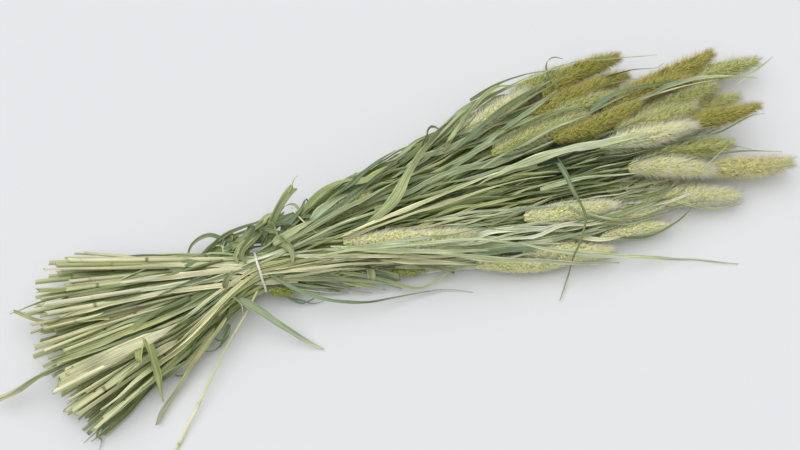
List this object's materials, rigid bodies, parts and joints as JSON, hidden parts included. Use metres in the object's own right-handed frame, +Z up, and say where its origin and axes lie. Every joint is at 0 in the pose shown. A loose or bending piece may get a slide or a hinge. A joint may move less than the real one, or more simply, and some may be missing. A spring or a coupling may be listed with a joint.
{
  "type": "bundle of dried setaria",
  "caption": "Bundle of dried foxtail grass lying on its side, with straw stems, long leaves and bristly seed heads, held together by an elastic band.",
  "frame": {"origin": "middle of the underside of the bundle's bounding box, on the surface that it lies on", "axes": "+X along the bundle from the cut ends to the seed heads, +Y across it, +Z up"},
  "size_m": [0.735, 0.2452, 0.0509],
  "materials": {
    "straw_stem": "satin dried grass straw",
    "seed_head": "fuzzy dried grains with fine bristles",
    "dried_leaf": "matt ribbed dried blade",
    "tie": "smooth white elastic"
  },
  "bodies": {
    "root": {"leaf_01": "dried_leaf", "leaf_02": "dried_leaf", "leaf_03": "dried_leaf", "leaf_04": "dried_leaf", "leaf_05": "dried_leaf", "leaf_06": "dried_leaf", "leaf_07": "dried_leaf", "leaf_08": "dried_leaf", "leaf_09": "dried_leaf", "leaf_10": "dried_leaf", "leaf_11": "dried_leaf", "leaf_12": "dried_leaf", "leaf_13": "dried_leaf", "leaf_14": "dried_leaf", "leaf_15": "dried_leaf", "seed_head_01": "seed_head", "seed_head_02": "seed_head", "seed_head_03": "seed_head", "seed_head_04": "seed_head", "seed_head_05": "seed_head", "seed_head_06": "seed_head", "seed_head_07": "seed_head", "seed_head_08": "seed_head", "seed_head_09": "seed_head", "seed_head_10": "seed_head", "seed_head_11": "seed_head", "seed_head_12": "seed_head", "seed_head_13": "seed_head", "seed_head_14": "seed_head", "seed_head_15": "seed_head", "seed_head_16": "seed_head", "seed_head_17": "seed_head", "seed_head_18": "seed_head", "seed_head_19": "seed_head", "seed_head_20": "seed_head", "stem_01": "straw_stem", "stem_02": "straw_stem", "stem_03": "straw_stem", "stem_04": "straw_stem", "stem_05": "straw_stem", "stem_06": "straw_stem", "stem_07": "straw_stem", "stem_08": "straw_stem", "stem_09": "straw_stem", "stem_10": "straw_stem", "stem_11": "straw_stem", "stem_12": "straw_stem", "stem_13": "straw_stem", "stem_14": "straw_stem", "stem_15": "straw_stem", "stem_16": "straw_stem", "stem_17": "straw_stem", "stem_18": "straw_stem", "stem_19": "straw_stem", "stem_20": "straw_stem", "stem_21": "straw_stem", "stem_22": "straw_stem", "stem_23": "straw_stem", "stem_24": "straw_stem", "tie_band": "tie"}
  },
  "joints": []
}
